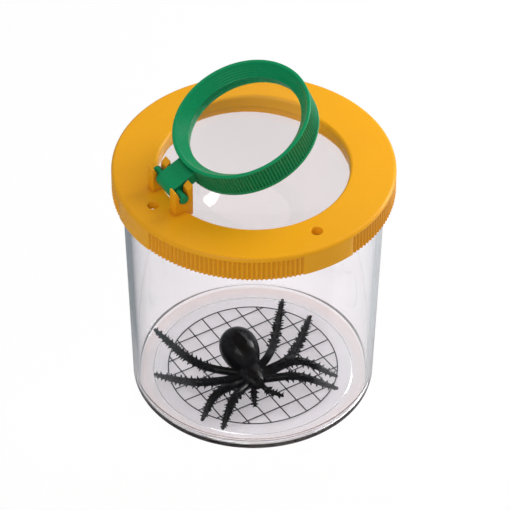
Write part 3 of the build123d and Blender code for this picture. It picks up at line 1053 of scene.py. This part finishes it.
class BUGJAR_OT_spider(bpy.types.Operator):
    """Black toy spider: head shield, abdomen, barbed legs and feelers"""

    bl_idname = "bugjar.spider"
    bl_label = "Toy spider"

    def execute(self, context):
        given = context.scene.bug_jar
        sizes = given.spider
        where = Matrix.Translation(SPIDER_PLACE) @ Matrix.Rotation(HEADING, 4, "Z")
        material = glossy_vinyl("soft_pvc_glossy_black", given.finish.spider_black)
        shape = bmesh.new()
        for egg in EGGS:
            add_egg(shape, *egg)
        barbs = []
        for limbs, root, start in ((LEGS, sizes.leg_radius, 0.3), (FEELERS, sizes.feeler_radius, 0.4)):
            for limb in limbs:
                route = limb_route(limb, 20)
                add_limb(shape, route, root)
                barbs += barb_points(route, root, sizes, start)
        piece = add_object("spider_body", smooth(placed(finished(shape, "spider"), where), 60))
        dress(piece, material, "spider", "black_pvc", "spider")
        self.barbs(barbs, where, material)
        return {"FINISHED"}

    def barbs(self, barbs, where, material):
        """Barbs on the legs, one small cone for each."""
        mesh = bpy.data.meshes.new("barbs")
        mesh.from_pydata([place for place, _, _ in barbs], [], [])
        lean = mesh.attributes.new("lean", "FLOAT_VECTOR", "POINT")
        lean.data.foreach_set("vector", [value for _, direction, _ in barbs for value in direction])
        grown = mesh.attributes.new("grown", "FLOAT", "POINT")
        grown.data.foreach_set("value", [length for _, _, length in barbs])
        piece = add_object("spider_barbs", mesh)
        run_tree(piece, barb_tree(), Width=BARB_WIDTH, Material=material)
        placed(piece.data, where)
        smooth(piece.data, 60)
        dress(piece, material, "spider", "black_pvc")


# Stage

CAMERA_AZIMUTH = -32.0
CAMERA_ELEVATION = 41.86
CAMERA_DISTANCE = 1.0415
CAMERA_LENS = 283.6
CAMERA_ROLL = 0.3
CAMERA_AIM = Vector((0.33, -0.21, 39.57)) * MM
GLINT_AIM = Vector((-14.2, 4.5, 80.7)) * MM
FLOOR_GAP = 0.1 * MM
FLOOR_REACH = 3.0
# name, aim, azimuth and elevation from there, distance, size, spread in degrees, watts, whether mirrored
LAMPS = (
    ("key", CAMERA_AIM, 100.0, 47.0, 0.27, 0.18, 180.0, 0.33, False),
    ("edge", CAMERA_AIM, 84.0, 20.0, 0.45, 0.15, 180.0, 0.85, True),
    ("fill", CAMERA_AIM, -60.0, 52.0, 0.8, 0.5, 180.0, 1.85, True),
    ("glint", GLINT_AIM, 153.9, 50.0, 0.585, 0.02, 2.6, 0.0000016, False),
)
# How white the floor and the world are to the camera, to reflections and through clear pieces
FLOOR_WHITE = (0.94, 0.3, 0.55)
WORLD_WHITE = (1.0, 0.1, 0.55)
WORLD_LIGHT = 0.34


def away(azimuth, elevation):
    """Direction from the object towards an azimuth and elevation seen as the camera's are."""
    a = radians(azimuth)
    e = radians(elevation)
    return Vector((sin(a) * cos(e), -cos(a) * cos(e), sin(e)))


def ray_kinds(tree):
    """Which rays see a surface, as 1 or 0: the camera's own, reflections and those through clear pieces."""
    path = add(tree, LIGHT_PATH).outputs
    glossy, through = path["Is Glossy Ray"], path["Is Transmission Ray"]
    mirrored = add(tree, MATH, [glossy, through], operation="SUBTRACT", use_clamp=True)
    direct = add(tree, MATH, [path["Diffuse Depth"], 0.5], operation="LESS_THAN")
    clear = add(tree, MATH, [through, direct], operation="MULTIPLY")
    return path["Is Camera Ray"], mirrored, clear


def white_share(tree, kinds, shares):
    """How much of the white a ray sees: the share of its own kind."""
    most = 0.0
    for kind, share in zip(kinds, shares):
        seen = add(tree, MATH, [kind, share], operation="MULTIPLY")
        most = add(tree, MATH, [most, seen], operation="MAXIMUM")
    return most


class BUGJAR_OT_stage(bpy.types.Operator):
    """White floor, soft lamps and the camera"""

    bl_idname = "bugjar.stage"
    bl_label = "Stage"

    def execute(self, context):
        scene = context.scene
        scene.view_settings.view_transform = "Standard"
        self.floor()
        self.world(scene)
        for lamp in LAMPS:
            scene.collection.objects.link(self.lamp(*lamp))
        camera = bpy.data.objects.new("camera", bpy.data.cameras.new("camera"))
        back = away(CAMERA_AZIMUTH, CAMERA_ELEVATION)
        camera.location = CAMERA_AIM + back * CAMERA_DISTANCE
        aimed = (-back).to_track_quat("-Z", "Y").to_matrix()
        camera.rotation_euler = (aimed @ Matrix.Rotation(radians(CAMERA_ROLL), 3, "Z")).to_euler()
        camera.data.lens = CAMERA_LENS
        scene.collection.objects.link(camera)
        scene.camera = camera
        return {"FINISHED"}

    def lamp(self, name, aim, azimuth, elevation, distance, width, spread, watts, mirrored):
        """Round soft lamp, turned to the place that it is aimed at."""
        lamp = bpy.data.lights.new(name, "AREA")
        lamp.shape = "DISK"
        lamp.size = width
        lamp.spread = radians(spread)
        lamp.energy = watts
        light = bpy.data.objects.new(name, lamp)
        light.visible_glossy = mirrored
        back = away(azimuth, elevation)
        light.location = aim + back * distance
        light.rotation_euler = (-back).to_track_quat("-Z", "Y").to_euler()
        return light

    def floor(self):
        """White sweep that keeps the object's shadow.

        Reflections, and light turned back inside the clear wall, see shade painted grey at the sides and in
        front, and reflections see the whole floor painted a greyer tone.
        Light that passes through clear pieces sees a painted soft shadow under the foot.
        """
        shape = bmesh.new()
        bmesh.ops.create_grid(shape, x_segments=1, y_segments=1, size=FLOOR_REACH)
        floor = add_object("floor", placed(finished(shape, "floor"), Matrix.Translation((0, 0, -FLOOR_GAP))))
        floor.rotation_euler = (0, 0, radians(CAMERA_AZIMUTH))
        material, tree = new_material("white_paper_sweep")
        place = add(tree, PLACE).outputs["Object"]
        across, along, _ = add(tree, SPLIT_XYZ, [place]).outputs
        reach = add(tree, VECTOR, [place], operation="LENGTH").outputs["Value"]
        kinds = ray_kinds(tree)
        _, mirrored, clear = kinds
        bounces = add(tree, LIGHT_PATH).outputs["Glossy Depth"]
        bounced = add(tree, MATH, [bounces, 0.5], operation="GREATER_THAN")
        unseen = add(tree, MATH, [mirrored, clear], operation="MAXIMUM")
        turned = add(tree, MATH, [bounced, unseen], operation="MULTIPLY")
        # Painted shade: tones laid on the floor only for reflections and for light through clear pieces, none
        # of it cast by a lamp
        layers = [(clear, "#F7F2F6"), (mirrored, "#AAAAAE")]
        # what sees a painted shade, where it is measured, where it starts and is full in millimetres, its
        # colour
        for seen, where, near, far, painted_tone in (
            (turned, across, -28.0, -42.0, "#949CA2"),
            (turned, across, 28.0, 44.0, "#DDE1E5"),
            (turned, along, -34.0, -39.0, "#55555A"),
            (clear, reach, 32.5, 30.0, "#E2D3D2"),
            (clear, reach, 30.0, 26.0, "#D8D3D8"),
        ):
            span = {"Value": where, "From Min": near * MM, "From Max": far * MM}
            ramp = add(tree, RANGE, span)
            layers.append((add(tree, MATH, [ramp, seen], operation="MULTIPLY"), painted_tone))
        tone = (1, 1, 1, 1)
        for share, shade in layers:
            laid = {"Factor": share, 6: tone, 7: (*linear(shade), 1)}
            tone = add(tree, MIX, laid, data_type="RGBA").outputs[2]
        paper = add(tree, "ShaderNodeBsdfDiffuse", {"Color": tone})
        white = add(tree, "ShaderNodeEmission", {"Color": tone, "Strength": 1.0})
        shown = white_share(tree, kinds, FLOOR_WHITE)
        mixed = add(tree, MIX_SHADER, [shown, paper, white])
        add(tree, OUTPUT, {"Surface": mixed})
        floor.data.materials.append(material)

    def world(self, scene):
        """Even light from all round, shown as white behind the object."""
        world = bpy.data.worlds.new("white_studio")
        world.use_nodes = True
        tree = world.node_tree
        tree.nodes.clear()
        soft = add(tree, "ShaderNodeBackground", {"Color": (1, 1, 1, 1), "Strength": WORLD_LIGHT})
        white = add(tree, "ShaderNodeBackground", {"Color": (1, 1, 1, 1), "Strength": 1.0})
        shown = white_share(tree, ray_kinds(tree), WORLD_WHITE)
        mixed = add(tree, MIX_SHADER, [shown, soft, white])
        add(tree, "ShaderNodeOutputWorld", {"Surface": mixed})
        scene.world = world


class BUGJAR_PT_panel(bpy.types.Panel):
    """Lists the pieces of the bug catcher jar"""

    bl_idname = "BUGJAR_PT_panel"
    bl_label = "Bug catcher jar"
    bl_space_type = "VIEW_3D"
    bl_region_type = "UI"
    bl_category = "Bug Jar"

    def draw(self, context):
        for operator in OPERATORS:
            self.layout.operator(operator.bl_idname)


OPERATORS = (
    BUGJAR_OT_jar,
    BUGJAR_OT_grid,
    BUGJAR_OT_lid,
    BUGJAR_OT_lid_lens,
    BUGJAR_OT_magnifier,
    BUGJAR_OT_magnifier_lens,
    BUGJAR_OT_spider,
    BUGJAR_OT_stage,
)
SIZES = (JarSizes, LidSizes, EarSizes, MagnifierSizes, SpiderSizes)
CLASSES = (*SIZES, Finishes, BugJar, *OPERATORS, BUGJAR_PT_panel)


def register():
    for cls in CLASSES:
        bpy.utils.register_class(cls)
    bpy.types.Scene.bug_jar = PointerProperty(type=BugJar)


def unregister():
    del bpy.types.Scene.bug_jar
    for cls in reversed(CLASSES):
        bpy.utils.unregister_class(cls)


def main():
    register()
    bpy.ops.bugjar.jar()
    bpy.ops.bugjar.grid()
    bpy.ops.bugjar.lid()
    bpy.ops.bugjar.lid_lens()
    bpy.ops.bugjar.magnifier()
    bpy.ops.bugjar.magnifier_lens()
    bpy.ops.bugjar.spider()
    bpy.ops.bugjar.stage()


if __name__ == "__main__":
    main()
